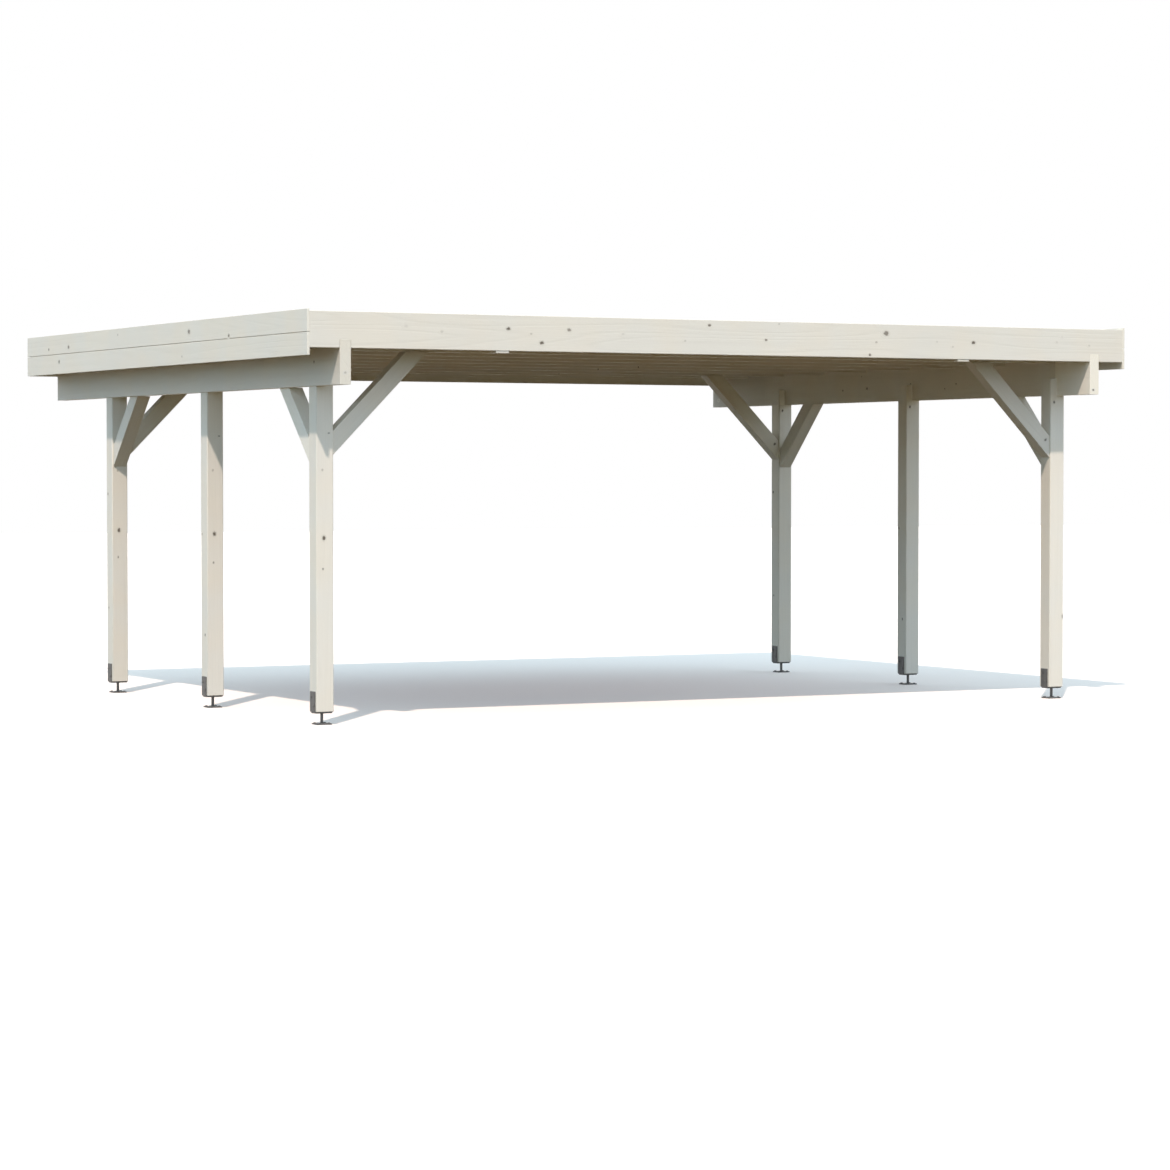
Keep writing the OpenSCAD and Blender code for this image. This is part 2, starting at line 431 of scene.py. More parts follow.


# Painted light and painted shade on parts of timbers, faces made lighter or darker: (a point, the way past
# it, the faces' way, change).
PAINTED_LIGHT_AND_SHADE_PATCHES = {
    "right_front_post": ((ABOVE_SHOULDER, UPWARD, FRONTWARD, -0.03),),
    "right_middle_post": ((ABOVE_SHOULDER, UPWARD, FRONTWARD, 0.06),),
    "right_rear_post": ((ABOVE_SHOULDER, UPWARD, FRONTWARD, 0.22),
                        (ABOVE_SHOULDER, UPWARD, LEFTWARD, -0.15)),
    "right_rear_cross_brace": (((0, 0, 0), UPWARD, BRACE_UNDERSIDE, -0.25),),
    "right_purlin": ((BY_FRONT_POST, FRONTWARD, LEFTWARD, 0.22),
                     *fading_painted_patch(BY_REAR_POST, REARWARD, LEFTWARD, -0.22))}
print("timbers with a seen shade:", len(PAINTED_LIGHT_AND_SHADE_TONES), "with patches:", len(PAINTED_LIGHT_AND_SHADE_PATCHES))

# %% Helpers for pieces
FACES_THAT_WAY = 0.5


def finish_piece(piece, slot, *nodes):
    """Fixes a finished piece to the frame and hides the CAD nodes that it stands for."""
    if piece.name not in scene.collection.objects:
        scene.collection.objects.link(piece)
    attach(piece, "root")
    if nodes:
        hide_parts(*nodes)
    return piece


def from_bmesh(name, shape, material):
    mesh = bpy.data.meshes.new(name)
    shape.to_mesh(mesh)
    shape.free()
    mesh.materials.append(material)
    return bpy.data.objects.new(name, mesh)


# Each face gets the timber's tone, plus the painted light or painted shade of every patch that covers it.
def set_tone(mesh, tone, painted_patches=()):
    values = [tone] * len(mesh.polygons)
    for point, way, facing, change in painted_patches:
        for face in mesh.polygons:
            if (face.center - Vector(point)).dot(way) > 0 and face.normal.dot(facing) > FACES_THAT_WAY:
                values[face.index] += change
    mesh.attributes.new("tone", "FLOAT", "FACE").data.foreach_set("value", values)


def middle(node):
    low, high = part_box(node)
    return (low + high) / 2


def skin(shape, a, b):
    """Faces between two neighbouring loops of corners."""
    for j in range(len(a)):
        k = (j + 1) % len(a)
        shape.faces.new((a[j], b[j], b[k], a[k]))


def capped(shape, loops):
    """A closed solid: the skin from each loop to the next one, and a cap at both ends."""
    for a, b in zip(loops, loops[1:]):
        skin(shape, a, b)
    shape.faces.new(loops[0])
    shape.faces.new(list(reversed(loops[-1])))


print("piece helpers ready")

# %% Eased copies
EASE = 0.003
SHARP_TURN = math.radians(50)
FLAT_TURN = math.radians(0.5)
MERGE = 1e-5
SEAT_PLAY = 0.001
shades = random.Random(11)
tones = {}


def in_seat(edge):
    """An edge of a seat cut lies tight against its purlin, so it stays sharp."""
    low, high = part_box("right_purlin")
    x = abs(edge.verts[0].co.x + edge.verts[1].co.x) / 2
    return low.x - SEAT_PLAY < x < high.x + SEAT_PLAY


def planed(node, way, slot="primed_timber", ease=EASE, seated=False):
    shape = bmesh.new()
    shape.from_mesh(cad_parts[node].data)
    bmesh.ops.remove_doubles(shape, verts=shape.verts, dist=MERGE)
    bmesh.ops.dissolve_limit(shape, angle_limit=FLAT_TURN, verts=shape.verts, edges=shape.edges)
    corners = [e for e in shape.edges if e.calc_face_angle_signed(0.0) > SHARP_TURN]
    if seated:
        corners = [e for e in corners if not in_seat(e)]
    edge_layer = shape.faces.layers.float.new("edge")
    # The timber's patches of painted light and shade; their edges are cut into the mesh below.
    painted_patches = PAINTED_LIGHT_AND_SHADE_PATCHES.get(node, ())
    eased = bmesh.ops.bevel(shape, geom=corners, offset=ease, segments=2, profile=0.5,
                            affect="EDGES", clamp_overlap=True)
    for face in eased["faces"]:
        face[edge_layer] = 1.0
    for point, past, _, _ in painted_patches:
        bmesh.ops.bisect_plane(shape, geom=shape.verts[:] + shape.edges[:] + shape.faces[:],
                               plane_co=point, plane_no=past)
    bmesh.ops.triangulate(shape, faces=[f for f in shape.faces if len(f.verts) > 4])
    bmesh.ops.recalc_face_normals(shape, faces=shape.faces)
    piece = from_bmesh(node + "_planed", shape, TIMBER[way])
    tones[node] = shades.uniform(-TONE_SPREAD, TONE_SPREAD)
    # Posts and some single timbers get painted light and shade in place of the chance tone.
    if node.endswith("_post"):
        tones[node] = POST_TONES_AND_PAINTED_LIGHT[node.split("_")[0]]
    tones[node] = PAINTED_LIGHT_AND_SHADE_TONES.get(node, tones[node])
    set_tone(piece.data, tones[node], painted_patches)
    return finish_piece(piece, slot, node)


print("corners sharper than", round(math.degrees(SHARP_TURN)), "degrees are eased")

# %% All planed timbers
POST_EASE = 0.002
PURLIN_EASE = 0.0015
INNER_RAFTER_EASE = 0.001
BOARD_EASE = 0.002
SIDES = ("left", "right")
ROWS = ("front", "middle", "rear")
CORNERS = ("front", "rear")
TIERS = ("lower", "upper")
INNER_RAFTERS = [f"rafter_{i}" for i in range(2, 10)] + ["rear_rafter"]
RAFTERS = ["front_rafter"] + INNER_RAFTERS

posts = [planed(f"{s}_{r}_post", "upright", ease=POST_EASE) for s in SIDES for r in ROWS]
purlins = [planed(f"{s}_purlin", "lengthways", ease=PURLIN_EASE) for s in SIDES]
rafters = [planed("front_rafter", "across", seated=True)]
rafters += [planed(r, "across", ease=INNER_RAFTER_EASE, seated=True) for r in INNER_RAFTERS]
cross_braces = [planed(f"{s}_{r}_cross_brace", f"{s}_cross") for s in SIDES for r in CORNERS]
side_braces = [planed(f"{s}_{r}_side_brace", f"{r}_side") for s in SIDES for r in CORNERS]
side_fascias = [planed(f"{s}_{t}_fascia", "lengthways", "edge_board", BOARD_EASE)
                for s in SIDES for t in TIERS]
rear_fascias = [planed(f"rear_{t}_fascia", "across", "edge_board", BOARD_EASE) for t in TIERS]
timbers = posts + purlins + rafters + cross_braces + side_braces + side_fascias + rear_fascias
print("planed timbers:", len(timbers), "faces:", sum(len(t.data.polygons) for t in timbers))

# %% [markdown]
# ## Running Geometry Nodes once
# Boards, knots and screws repeat, so node trees make them: one shape, set out on a row
# of points. The tree hangs on a small host mesh, runs once, and its result is kept as
# a plain mesh, because an exported model can't hold instances.

# %% Geometry Nodes helper
GEOMETRY = ("Geometry", "NodeSocketGeometry", None)


def grown(name, host_mesh, tree, slot, nodes=(), **sizes):
    host = bpy.data.objects.new(name, host_mesh)
    scene.collection.objects.link(host)
    modifier = host.modifiers.new("growth", "NODES")
    modifier.node_group = tree
    for item in tree.interface.items_tree:
        key = item.name.replace(" ", "_").lower()
        if item.in_out == "INPUT" and key in sizes:
            modifier[item.identifier] = sizes[key]
    evaluated = host.evaluated_get(bpy.context.evaluated_depsgraph_get())
    mesh = bpy.data.meshes.new_from_object(evaluated)
    host.modifiers.remove(modifier)
    host.data = mesh
    print(name, "faces:", len(mesh.polygons))
    return finish_piece(host, slot, *nodes)


def ending(tree, geometry, material, out):
    """Every tree ends alike: instances become mesh, and the mesh gets its material."""
    real = add(tree, "GeometryNodeRealizeInstances", Geometry=geometry).outputs[0]
    done = add(tree, "GeometryNodeSetMaterial", Geometry=real, Material=material).outputs[0]
    tree.links.new(done, out.inputs[0])


def random_between(tree, low, high, seed):
    made = add(tree, "FunctionNodeRandomValue", {"data_type": "FLOAT"}, Seed=seed)
    made.inputs[2].default_value, made.inputs[3].default_value = low, high
    return made.outputs[1]


def keep_value(tree, geometry, name, value, domain, kind="FLOAT"):
    made = add(tree, "GeometryNodeStoreNamedAttribute", {"data_type": kind, "domain": domain},
               Geometry=geometry, Name=name, Value=value)
    return made.outputs[0]


print("growth helper ready")

# %% [markdown]
# ## Roof boarding
# Seen from below, the roof is closed by narrow tongued boards that run from front to
# rear over the rafters, with a small V where two meet. One board is drawn as a
# profile, and the tree sets out the whole row and gives each board its own shade,
# around a darker tone that is painted shade.

# %% Roof boards
BOARD_COUNT = 52
V_DEPTH = 0.004
BOARD_GAP = 0.0008
# All boards are darker than the primer: painted shade for the underside of the roof.
BOARD_PAINTED_SHADE = -0.12
BOARD_SPREAD = 0.018
BOARD_SEED = 5


def board_mesh(low, high, count):
    """One board with chamfered lower edges, at the left end of the row."""
    pitch = (high.x - low.x) / count
    x0, x1 = low.x + BOARD_GAP, low.x + pitch - BOARD_GAP
    outline = [(x0 + V_DEPTH, low.z), (x1 - V_DEPTH, low.z), (x1, low.z + V_DEPTH), (x1, high.z),
               (x0, high.z), (x0, low.z + V_DEPTH)]
    shape = bmesh.new()
    capped(shape, [[shape.verts.new((x, y, z)) for x, z in outline] for y in (low.y, high.y)])
    bmesh.ops.recalc_face_normals(shape, faces=shape.faces)
    mesh = bpy.data.meshes.new("one_board")
    shape.to_mesh(mesh)
    shape.free()
    return mesh, pitch


def boards_tree(material):
    tree, given, out = new_group(
        "board_row", "GeometryNodeTree",
        [GEOMETRY, ("Count", "NodeSocketInt", BOARD_COUNT), *floats("Pitch"),
         ("Shade Spread", "NodeSocketFloat", BOARD_SPREAD)], [GEOMETRY])
    step = add(tree, "ShaderNodeCombineXYZ", X=given.outputs["Pitch"]).outputs[0]
    row = add(tree, "GeometryNodeMeshLine", Count=given.outputs["Count"], Offset=step).outputs[0]
    boards = add(tree, "GeometryNodeInstanceOnPoints", Points=row, Instance=given.outputs[0]).outputs[0]
    # Each board's chance shade lies around the darker painted shade of all boards.
    shade = calc(tree, "MULTIPLY_ADD", random_between(tree, -1.0, 1.0, BOARD_SEED),
                 given.outputs["Shade Spread"], BOARD_PAINTED_SHADE)
    ending(tree, keep_value(tree, boards, "tone", shade, "INSTANCE"), material, out)
    return tree


low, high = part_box("roof_boarding")
one_board, pitch = board_mesh(low, high, BOARD_COUNT)
grown("roof_boards", one_board, boards_tree(TIMBER["lengthways"]), "roof_boarding",
      ["roof_boarding"], count=BOARD_COUNT, pitch=pitch)

# %% [markdown]
# ## Roofing felt
# On top lie sheets of mineral felt, each lapped a hand's width over the next one
# towards the rear, where the water runs. A sheet is never quite flat, so the mesh is a
# fine grid with a gentle wave, and the laps are real steps. Small turned-up fillets
# close the sheet against the edge boards.

# %% Felt material
FELT = (0.066, 0.072, 0.070, 1.0)
DUST = (0.15, 0.145, 0.13, 1.0)
DUST_RANGE = (0.45, 0.80)
DUST_SHARE = 0.14
GRANULE_SCALE = 420.0
SPECK_SCALE = 160.0
SPECK_DEPTH = 0.9
STAIN_SCALE = 0.8
STAIN_DEPTH = 0.3
SHEET_STRETCH = (0.3, 5.0, 1.0)
SHEET_DEPTH = 0.25
SHEET_MEAN = 0.12
FELT_ROUGH = (0.78, 0.95)
FELT_BUMP = 0.5
GRANULE_HEIGHT = 0.001

felt_material, tree, shader = principled("mineral_felt")
place = object_place(tree)
granule = add(tree, "ShaderNodeTexVoronoi", Vector=place, Scale=GRANULE_SCALE).outputs["Distance"]
speck = noise_at(tree, place, SPECK_SCALE, 3.0, 0.7)
stain = noise_at(tree, place, STAIN_SCALE, 4.0, 0.6)
sheet_streak = noise_at(tree, vector_calc(tree, "MULTIPLY", place, SHEET_STRETCH), 1.0, 2.0)
level = calc(tree, "MULTIPLY_ADD", speck, SPECK_DEPTH, 1.0 - SPECK_DEPTH / 2)
level = calc(tree, "MULTIPLY_ADD", stain, STAIN_DEPTH, calc(tree, "SUBTRACT", level, STAIN_DEPTH / 2))
level = calc(tree, "MULTIPLY_ADD", sheet_streak, SHEET_DEPTH, calc(tree, "SUBTRACT", level, SHEET_MEAN))
dusty = blend(tree, remap(tree, stain, *DUST_RANGE, 0.0, DUST_SHARE), FELT, DUST)
set_inputs(tree, shader, Base_Color=vector_calc(tree, "SCALE", dusty, level),
           Roughness=remap(tree, speck, *NOISE_SPAN, *FELT_ROUGH))
bumped(tree, shader, calc(tree, "SUBTRACT", speck, granule), FELT_BUMP, GRANULE_HEIGHT)
print("felt material:", len(tree.nodes), "nodes")

# %% Felt sheets
SHEETS = 6
LAP_STEP = 0.0026
WAVE = 0.0007
WAVES_ACROSS, WAVES_ALONG, WAVE_SLICE = 1.9, 2.3, 4.0
ACROSS_CELLS = 96
SHEET_CELLS = 8
FILLET = 0.009
FILLET_START = 0.25
FILLET_SINK = 0.001


def felt_profile(low, high):
    """(y, z) along the top from front to rear: each sheet rises to its lap, then steps down."""
    depth = (high.y - low.y) / SHEETS
    line = []
    for sheet in range(SHEETS):
        for cell in range(SHEET_CELLS + 1):
            share = cell / SHEET_CELLS
            line.append((low.y + (sheet + share) * depth, high.z + share ** 3 * LAP_STEP))
    return line


def felt_mesh(low, high):
    shape = bmesh.new()
    line = felt_profile(low, high)
    rows = []
    for i in range(ACROSS_CELLS + 1):
        x = low.x + (high.x - low.x) * i / ACROSS_CELLS
        row = []
        for y, z in line:
            wave = WAVE * noise.noise(Vector((x * WAVES_ACROSS, y * WAVES_ALONG, WAVE_SLICE)))
            row.append(shape.verts.new((x, y, z + wave)))
        row += [shape.verts.new((x, high.y, low.z)), shape.verts.new((x, low.y, low.z))]
        rows.append(row)
    capped(shape, rows)
    return shape


def add_prism(shape, corners, start, end):
    """A closed strip of triangular section between two points."""
    capped(shape, [[shape.verts.new(Vector(c) + Vector(p)) for c in corners] for p in (start, end)])


low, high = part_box("roofing_felt")
felt_shape = felt_mesh(low, high)
base = high.z - FILLET_SINK
for side in (-1, 1):
    x = side * high.x
    add_prism(felt_shape, ((0, 0, 0), (-side * FILLET, 0, 0), (0, 0, FILLET)),
              (x, low.y + FILLET_START, base), (x, high.y, base))
add_prism(felt_shape, ((0, 0, 0), (0, -FILLET, 0), (0, 0, FILLET)),
          (low.x, high.y, base), (high.x, high.y, base))
bmesh.ops.recalc_face_normals(felt_shape, faces=felt_shape.faces)
felt_sheets = from_bmesh("felt_sheets", felt_shape, felt_material)
finish_piece(felt_sheets, "roofing_felt", "roofing_felt")
print("felt sheets:", SHEETS, "faces:", len(felt_sheets.data.polygons))

# %% [markdown]
# ## Galvanised steel
# The post bases keep their CAD shape, which is plain bent and welded steel. Zinc shows
# as a dull grey with a faint crystal pattern, so cells of slightly different grey and
# gloss are mixed, with darker streaks where water has run.

# %% Zinc
ZINC = (0.145, 0.147, 0.145, 1.0)
ZINC_METALLIC = 0.55
ZINC_ROUGH = 0.45
CRYSTAL_SCALE = 85.0
CRYSTAL_DEPTH = 0.22
CRYSTAL_ROUGH = 0.18
RUN_STRETCH = (40.0, 40.0, 6.0)
RUN_LEVELS = (0.82, 1.08)
RUN_BUMP = 0.15
RUN_HEIGHT = 0.001


def zinc_material(name, colour):
    made, tree, shader = principled(name)
    place = object_place(tree)
    cell = add(tree, "ShaderNodeTexVoronoi", Vector=place, Scale=CRYSTAL_SCALE)
    crystal = add(tree, "ShaderNodeSeparateColor", Color=cell.outputs["Color"]).outputs["Red"]
    run = noise_at(tree, vector_calc(tree, "MULTIPLY", place, RUN_STRETCH), 1.0, 3.0)
    level = calc(tree, "MULTIPLY_ADD", crystal, CRYSTAL_DEPTH, 1.0 - CRYSTAL_DEPTH)
    level = calc(tree, "MULTIPLY", level, remap(tree, run, *NOISE_SPAN, *RUN_LEVELS))
    set_inputs(tree, shader, Base_Color=vector_calc(tree, "SCALE", colour[:3], level),
               Roughness=calc(tree, "MULTIPLY_ADD", crystal, CRYSTAL_ROUGH, ZINC_ROUGH),
               Metallic=ZINC_METALLIC)
    bumped(tree, shader, run, RUN_BUMP, RUN_HEIGHT)
    return made


zinc = zinc_material("galvanised_steel", ZINC)
post_bases = [f"{s}_{r}_post_base" for s in SIDES for r in ROWS]
for node in post_bases:
    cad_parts[node].data.materials.clear()
    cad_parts[node].data.materials.append(zinc)
print("zinc on", len(post_bases), "post bases")

# %% [markdown]
# ## Bolts and screws
# The fixings are few shapes in many places: hexagon heads on round washers hold the
# saddles and the plates, and small round heads hold the tongues of the posts, the edge
# boards and the felt. Each place is a point with a direction; the tree turns a head to
# that direction and spins it by a fixed chance.

# %% Points for fixings
def point_mesh(name, places, **values):
    """A mesh of loose points, each (point, direction). A value is a list, one number a point."""
    mesh = bpy.data.meshes.new(name)
    mesh.from_pydata([point for point, _ in places], [], [])
    facing = mesh.attributes.new("facing", "FLOAT_VECTOR", "POINT")
    facing.data.foreach_set("vector", [c for _, direction in places for c in direction])
    for key, numbers in values.items():
        mesh.attributes.new(key, "FLOAT", "POINT").data.foreach_set("value", numbers)
    return mesh


def named(tree, name, kind="FLOAT"):
    return add(tree, "GeometryNodeInputNamedAttribute", {"data_type": kind}, Name=name).outputs[0]


def turned_points(tree, points, instance, seed):
    """Instances on points, turned so that Z follows each point's direction, with a chance spin."""
    turn = add(tree, "FunctionNodeAlignRotationToVector", {"axis": "Z"},
               Vector=named(tree, "facing", "FLOAT_VECTOR")).outputs[0]
    spin = add(tree, "FunctionNodeAxisAngleToRotation", Axis=(0, 0, 1),
               Angle=random_between(tree, 0.0, math.tau, seed)).outputs[0]
    both = add(tree, "FunctionNodeRotateRotation", {"rotation_space": "LOCAL"},
               Rotation=turn, Rotate_By=spin).outputs[0]
    return add(tree, "GeometryNodeInstanceOnPoints", Points=points, Instance=instance,
               Rotation=both).outputs[0]


def lifted(tree, geometry, z):
    up = add(tree, "ShaderNodeCombineXYZ", Z=z).outputs[0]
    return add(tree, "GeometryNodeTransform", Geometry=geometry, Translation=up).outputs[0]


def steel_heads(name, places_name, places, tree, sizes):
    return grown(name, point_mesh(places_name, places), tree, "galvanised_steel", **sizes)


print("fixing helpers ready")

# %% Hexagon heads
BOLT_ZINC = (0.19, 0.19, 0.185, 1.0)
WASHER_THICKNESS = 0.002
WASHER_CORNERS = 18
HEX_TAPER = 0.94
HEX_SEED = 3
# Heights above the face, as shares of the washer's thickness, so that nothing hovers.
WASHER_MIDDLE = 0.4
HEAD_FOOT = 0.8


def hex_tree(material):
    tree, given, out = new_group(
        "hexagon_bolt", "GeometryNodeTree",
        [GEOMETRY, *floats("Head Radius", "Head Height", "Washer Radius"),
         ("Washer Thickness", "NodeSocketFloat", WASHER_THICKNESS)], [GEOMETRY])
    thick, tall = given.outputs["Washer Thickness"], given.outputs["Head Height"]
    washer = add(tree, "GeometryNodeMeshCylinder", Vertices=WASHER_CORNERS,
                 Radius=given.outputs["Washer Radius"], Depth=thick).outputs[0]
    head = add(tree, "GeometryNodeMeshCone", Vertices=6, Radius_Bottom=given.outputs["Head Radius"],
               Radius_Top=calc(tree, "MULTIPLY", given.outputs["Head Radius"], HEX_TAPER),
               Depth=tall).outputs[0]
    joined = tree.nodes.new("GeometryNodeJoinGeometry")
    tree.links.new(lifted(tree, washer, calc(tree, "MULTIPLY", thick, WASHER_MIDDLE)), joined.inputs[0])
    tree.links.new(lifted(tree, head, calc(tree, "MULTIPLY", thick, HEAD_FOOT)), joined.inputs[0])
    ending(tree, turned_points(tree, given.outputs[0], joined.outputs[0], HEX_SEED), material, out)
    return tree


hexagon = hex_tree(zinc_material("zinc_bolts", BOLT_ZINC))
print("hexagon tree:", len(hexagon.nodes), "nodes")

# %% Round heads
NAIL_ZINC = (0.20, 0.20, 0.195, 1.0)
WEAR_SCALE = 240.0
WEAR_RANGE = (0.35, 0.7)
WEAR_LEVELS = (0.95, 1.0)
PAINT_ROUGH = 0.5
ROUND_CORNERS = 12
ROUND_TAPER = 0.72
ROUND_SEED = 7


def painted_material(name):
    made, tree, shader = principled(name)
    worn = remap(tree, noise_at(tree, object_place(tree), WEAR_SCALE, 2.0), *WEAR_RANGE, *WEAR_LEVELS)
    set_inputs(tree, shader, Base_Color=vector_calc(tree, "SCALE", PRIMER[:3], worn), Roughness=PAINT_ROUGH)
    return made


def round_tree(material):
    tree, given, out = new_group("round_head", "GeometryNodeTree",
                                 [GEOMETRY, *floats("Head Radius", "Proud")], [GEOMETRY])
    radius, proud = given.outputs["Head Radius"], given.outputs["Proud"]
    rim = add(tree, "GeometryNodeMeshCone", Vertices=ROUND_CORNERS, Radius_Bottom=radius,
              Radius_Top=calc(tree, "MULTIPLY", radius, ROUND_TAPER),
              Depth=calc(tree, "MULTIPLY", proud, 2.0)).outputs[0]
    head = lifted(tree, rim, calc(tree, "MULTIPLY", proud, -1.0))
    ending(tree, turned_points(tree, given.outputs[0], head, ROUND_SEED), material, out)
    return tree


round_head = round_tree(painted_material("painted_heads"))
clout_head = round_tree(zinc_material("felt_nail_heads", NAIL_ZINC))
print("round head trees:", len(round_head.nodes), "nodes each")

# %% [markdown]
# The places follow from the CAD boxes. A saddle has two coach screws in each side, a
# plate on the ground has one anchor bolt in each corner hole, and a post's tongue is
# screwed to its purlin from the inner side, so the outer face of a purlin stays clean.

# %% Bolts on posts and bases
ANCHOR_HALF = 0.035
SADDLE_SIDE = 0.006
SADDLE_SCREW_Z = (0.125, 0.180)
SADDLE_SCREW_Y = (-0.02, 0.02)
TONGUE_SCREWS = ((-0.03, 0.035), (0.03, 0.085))
PLATE_TOP = 0.008
REST_PLATE = 0.006
SADDLE_SIZES = {"head_radius": 0.0075, "head_height": 0.004, "washer_radius": 0.0105}
ANCHOR_SIZES = {"head_radius": 0.0085, "head_height": 0.004, "washer_radius": 0.0115}
TONGUE_SIZES = {"head_radius": 0.006, "proud": 0.0006}

saddle_places, anchor_places, tongue_places = [], [], []
for side, sign in zip(SIDES, (-1, 1)):
    for row in ROWS:
        node = f"{side}_{row}_post"
        low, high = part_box(node)
        mid = middle(node)
        under_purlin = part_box(f"{side}_purlin")[0].z
        for z, dy in zip(SADDLE_SCREW_Z, SADDLE_SCREW_Y):
            for end, x in ((-1, low.x - SADDLE_SIDE), (1, high.x + SADDLE_SIDE)):
                saddle_places.append(((x, mid.y + dy, z), (end, 0, 0)))
        for dx in (-ANCHOR_HALF, ANCHOR_HALF):
            for dy in (-ANCHOR_HALF, ANCHOR_HALF):
                anchor_places.append(((mid.x + dx, mid.y + dy, PLATE_TOP), UPWARD))
        inner_x = low.x if sign > 0 else high.x
        for dy, dz in TONGUE_SCREWS:
            tongue_places.append(((inner_x, mid.y + dy, under_purlin + dz), (-sign, 0, 0)))

steel_heads("saddle_screws", "saddle_places", saddle_places, hexagon, SADDLE_SIZES)
steel_heads("anchor_bolts", "anchor_places", anchor_places, hexagon, ANCHOR_SIZES)
steel_heads("tongue_screws", "tongue_places", tongue_places, round_head, TONGUE_SIZES)

# %% [markdown]
# The upright bar of a post base is welded to its plate and to the saddle with small
# fillets. A fillet is a turned shape: its outline is carried round the bar's axis.

# %% Welds
STEM_RADIUS = 0.010
WELD = 0.005
WELD_OVERLAP = 0.002
WELD_SINK = 0.001
WAIST_OUT, WAIST_UP = 0.45, 0.5
SPIN_STEPS = 24


def ring_shape(shape, centre, outline, steps):
    """A closed ring: an outline of (radius, height) pairs, carried round the centre."""
    loops = []
    for i in range(steps):
        a = math.tau * i / steps
        loops.append([shape.verts.new((centre.x + r * math.cos(a), centre.y + r * math.sin(a), z))
                      for r, z in outline])
    for a, b in zip(loops, loops[1:] + loops[:1]):
        skin(shape, a, b)


steel_shape = bmesh.new()
for node in post_bases:
    saddle_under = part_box(node.removesuffix("_base"))[0].z - SADDLE_SIDE - REST_PLATE
    inner = STEM_RADIUS - WELD_OVERLAP
    for z, way in ((PLATE_TOP, 1), (saddle_under, -1)):
        foot, tip = z - way * WELD_SINK, z + way * WELD
        outline = ((inner, foot), (STEM_RADIUS + WELD, foot),
                   (STEM_RADIUS + WELD * WAIST_OUT, z + way * WELD * WAIST_UP),
                   (STEM_RADIUS, tip), (inner, tip))
        ring_shape(steel_shape, middle(node), outline, SPIN_STEPS)
bmesh.ops.recalc_face_normals(steel_shape, faces=steel_shape.faces)
welds = from_bmesh("welds", steel_shape, zinc)
finish_piece(welds, "galvanised_steel")
print("welds:", len(welds.data.polygons), "faces")

# %% [markdown]
# Screws with small painted heads hold the edge boards to the rafters, and nails with
# wide heads hold the laps of the felt. From a few metres away they hardly show, but
# close up a board without fixings looks glued on.

# %% Screws in the edge boards
BOARD_SCREW_UP = (0.035, 0.110)
REAR_SCREW_STEP = 0.62
REAR_SCREW_INSET = 0.06
SCREW_SIZES = {"head_radius": 0.0045, "proud": 0.0006}

screw_places = []
for side, sign in zip(SIDES, (-1, 1)):
    for tier in TIERS:
        low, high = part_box(f"{side}_{tier}_fascia")
        face = low.x if sign < 0 else high.x
        for rafter in RAFTERS:
            for up in BOARD_SCREW_UP:
                screw_places.append(((face, middle(rafter).y, low.z + up), (sign, 0, 0)))
for tier in TIERS:
    low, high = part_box(f"rear_{tier}_fascia")
    count = int((high.x - low.x) / REAR_SCREW_STEP)
    for i in range(count + 1):
        x = low.x + REAR_SCREW_INSET + (high.x - low.x - 2 * REAR_SCREW_INSET) * i / count
        for up in BOARD_SCREW_UP:
            screw_places.append(((x, high.y, low.z + up), REARWARD))
steel_heads("board_screws", "screw_places", screw_places, round_head, SCREW_SIZES)

# %% Nails in the felt
NAILS_PER_LAP = 32
NAIL_INSET = 0.1
NAIL_FROM_LAP = 0.03
NAIL_LIFT = 0.92
NAIL_SIZES = {"head_radius": 0.006, "proud": 0.0012}

nail_places = []
low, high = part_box("roofing_felt")
sheet_depth = (high.y - low.y) / SHEETS
for sheet in range(1, SHEETS):
    y = low.y + sheet * sheet_depth - NAIL_FROM_LAP
    for i in range(NAILS_PER_LAP):
        x = low.x + NAIL_INSET + (high.x - low.x - 2 * NAIL_INSET) * i / (NAILS_PER_LAP - 1)
        nail_places.append(((x, y, high.z + LAP_STEP * NAIL_LIFT), UPWARD))
steel_heads("felt_nails", "nail_places", nail_places, clout_head, NAIL_SIZES)

# %% [markdown]
# ## Knots
# Knots are what tells timber from plastic: small dark spots, longer along the grain,
# with a greyish halo and a faint tail. They are flat discs a fraction of a millimetre
# proud. Each disc keeps where a point lies on it, so the material can run from the
# dark core over the halo to the plain primed colour at the rim. The ones on the front,
# on the left, on the right-hand posts and under the roof lie where the photograph shows
# them; the others are set out by a fixed chance.

# %% Knot material
KNOT_CORE = (0.085, 0.066, 0.046, 1.0)
KNOT_HALO = (0.46, 0.43, 0.36, 1.0)
RAGGED_SCALE = 95.0
RAGGED_DEPTH = 0.56
# Where each effect fades out and where it is full, from 0 in the middle to 1 at the rim.
CORE_EDGE = (0.50, 0.28)
HALO_EDGE = (0.85, 0.40)
TAIL_WIDTH = (0.32, 0.02)
TAIL_LENGTH = (0.95, 0.2)
RIM_EDGE = (0.98, 0.72)
HALO_SHARE = 0.5
TAIL_SHARE = 0.45
KNOT_ROUGH = (0.58, 0.42)


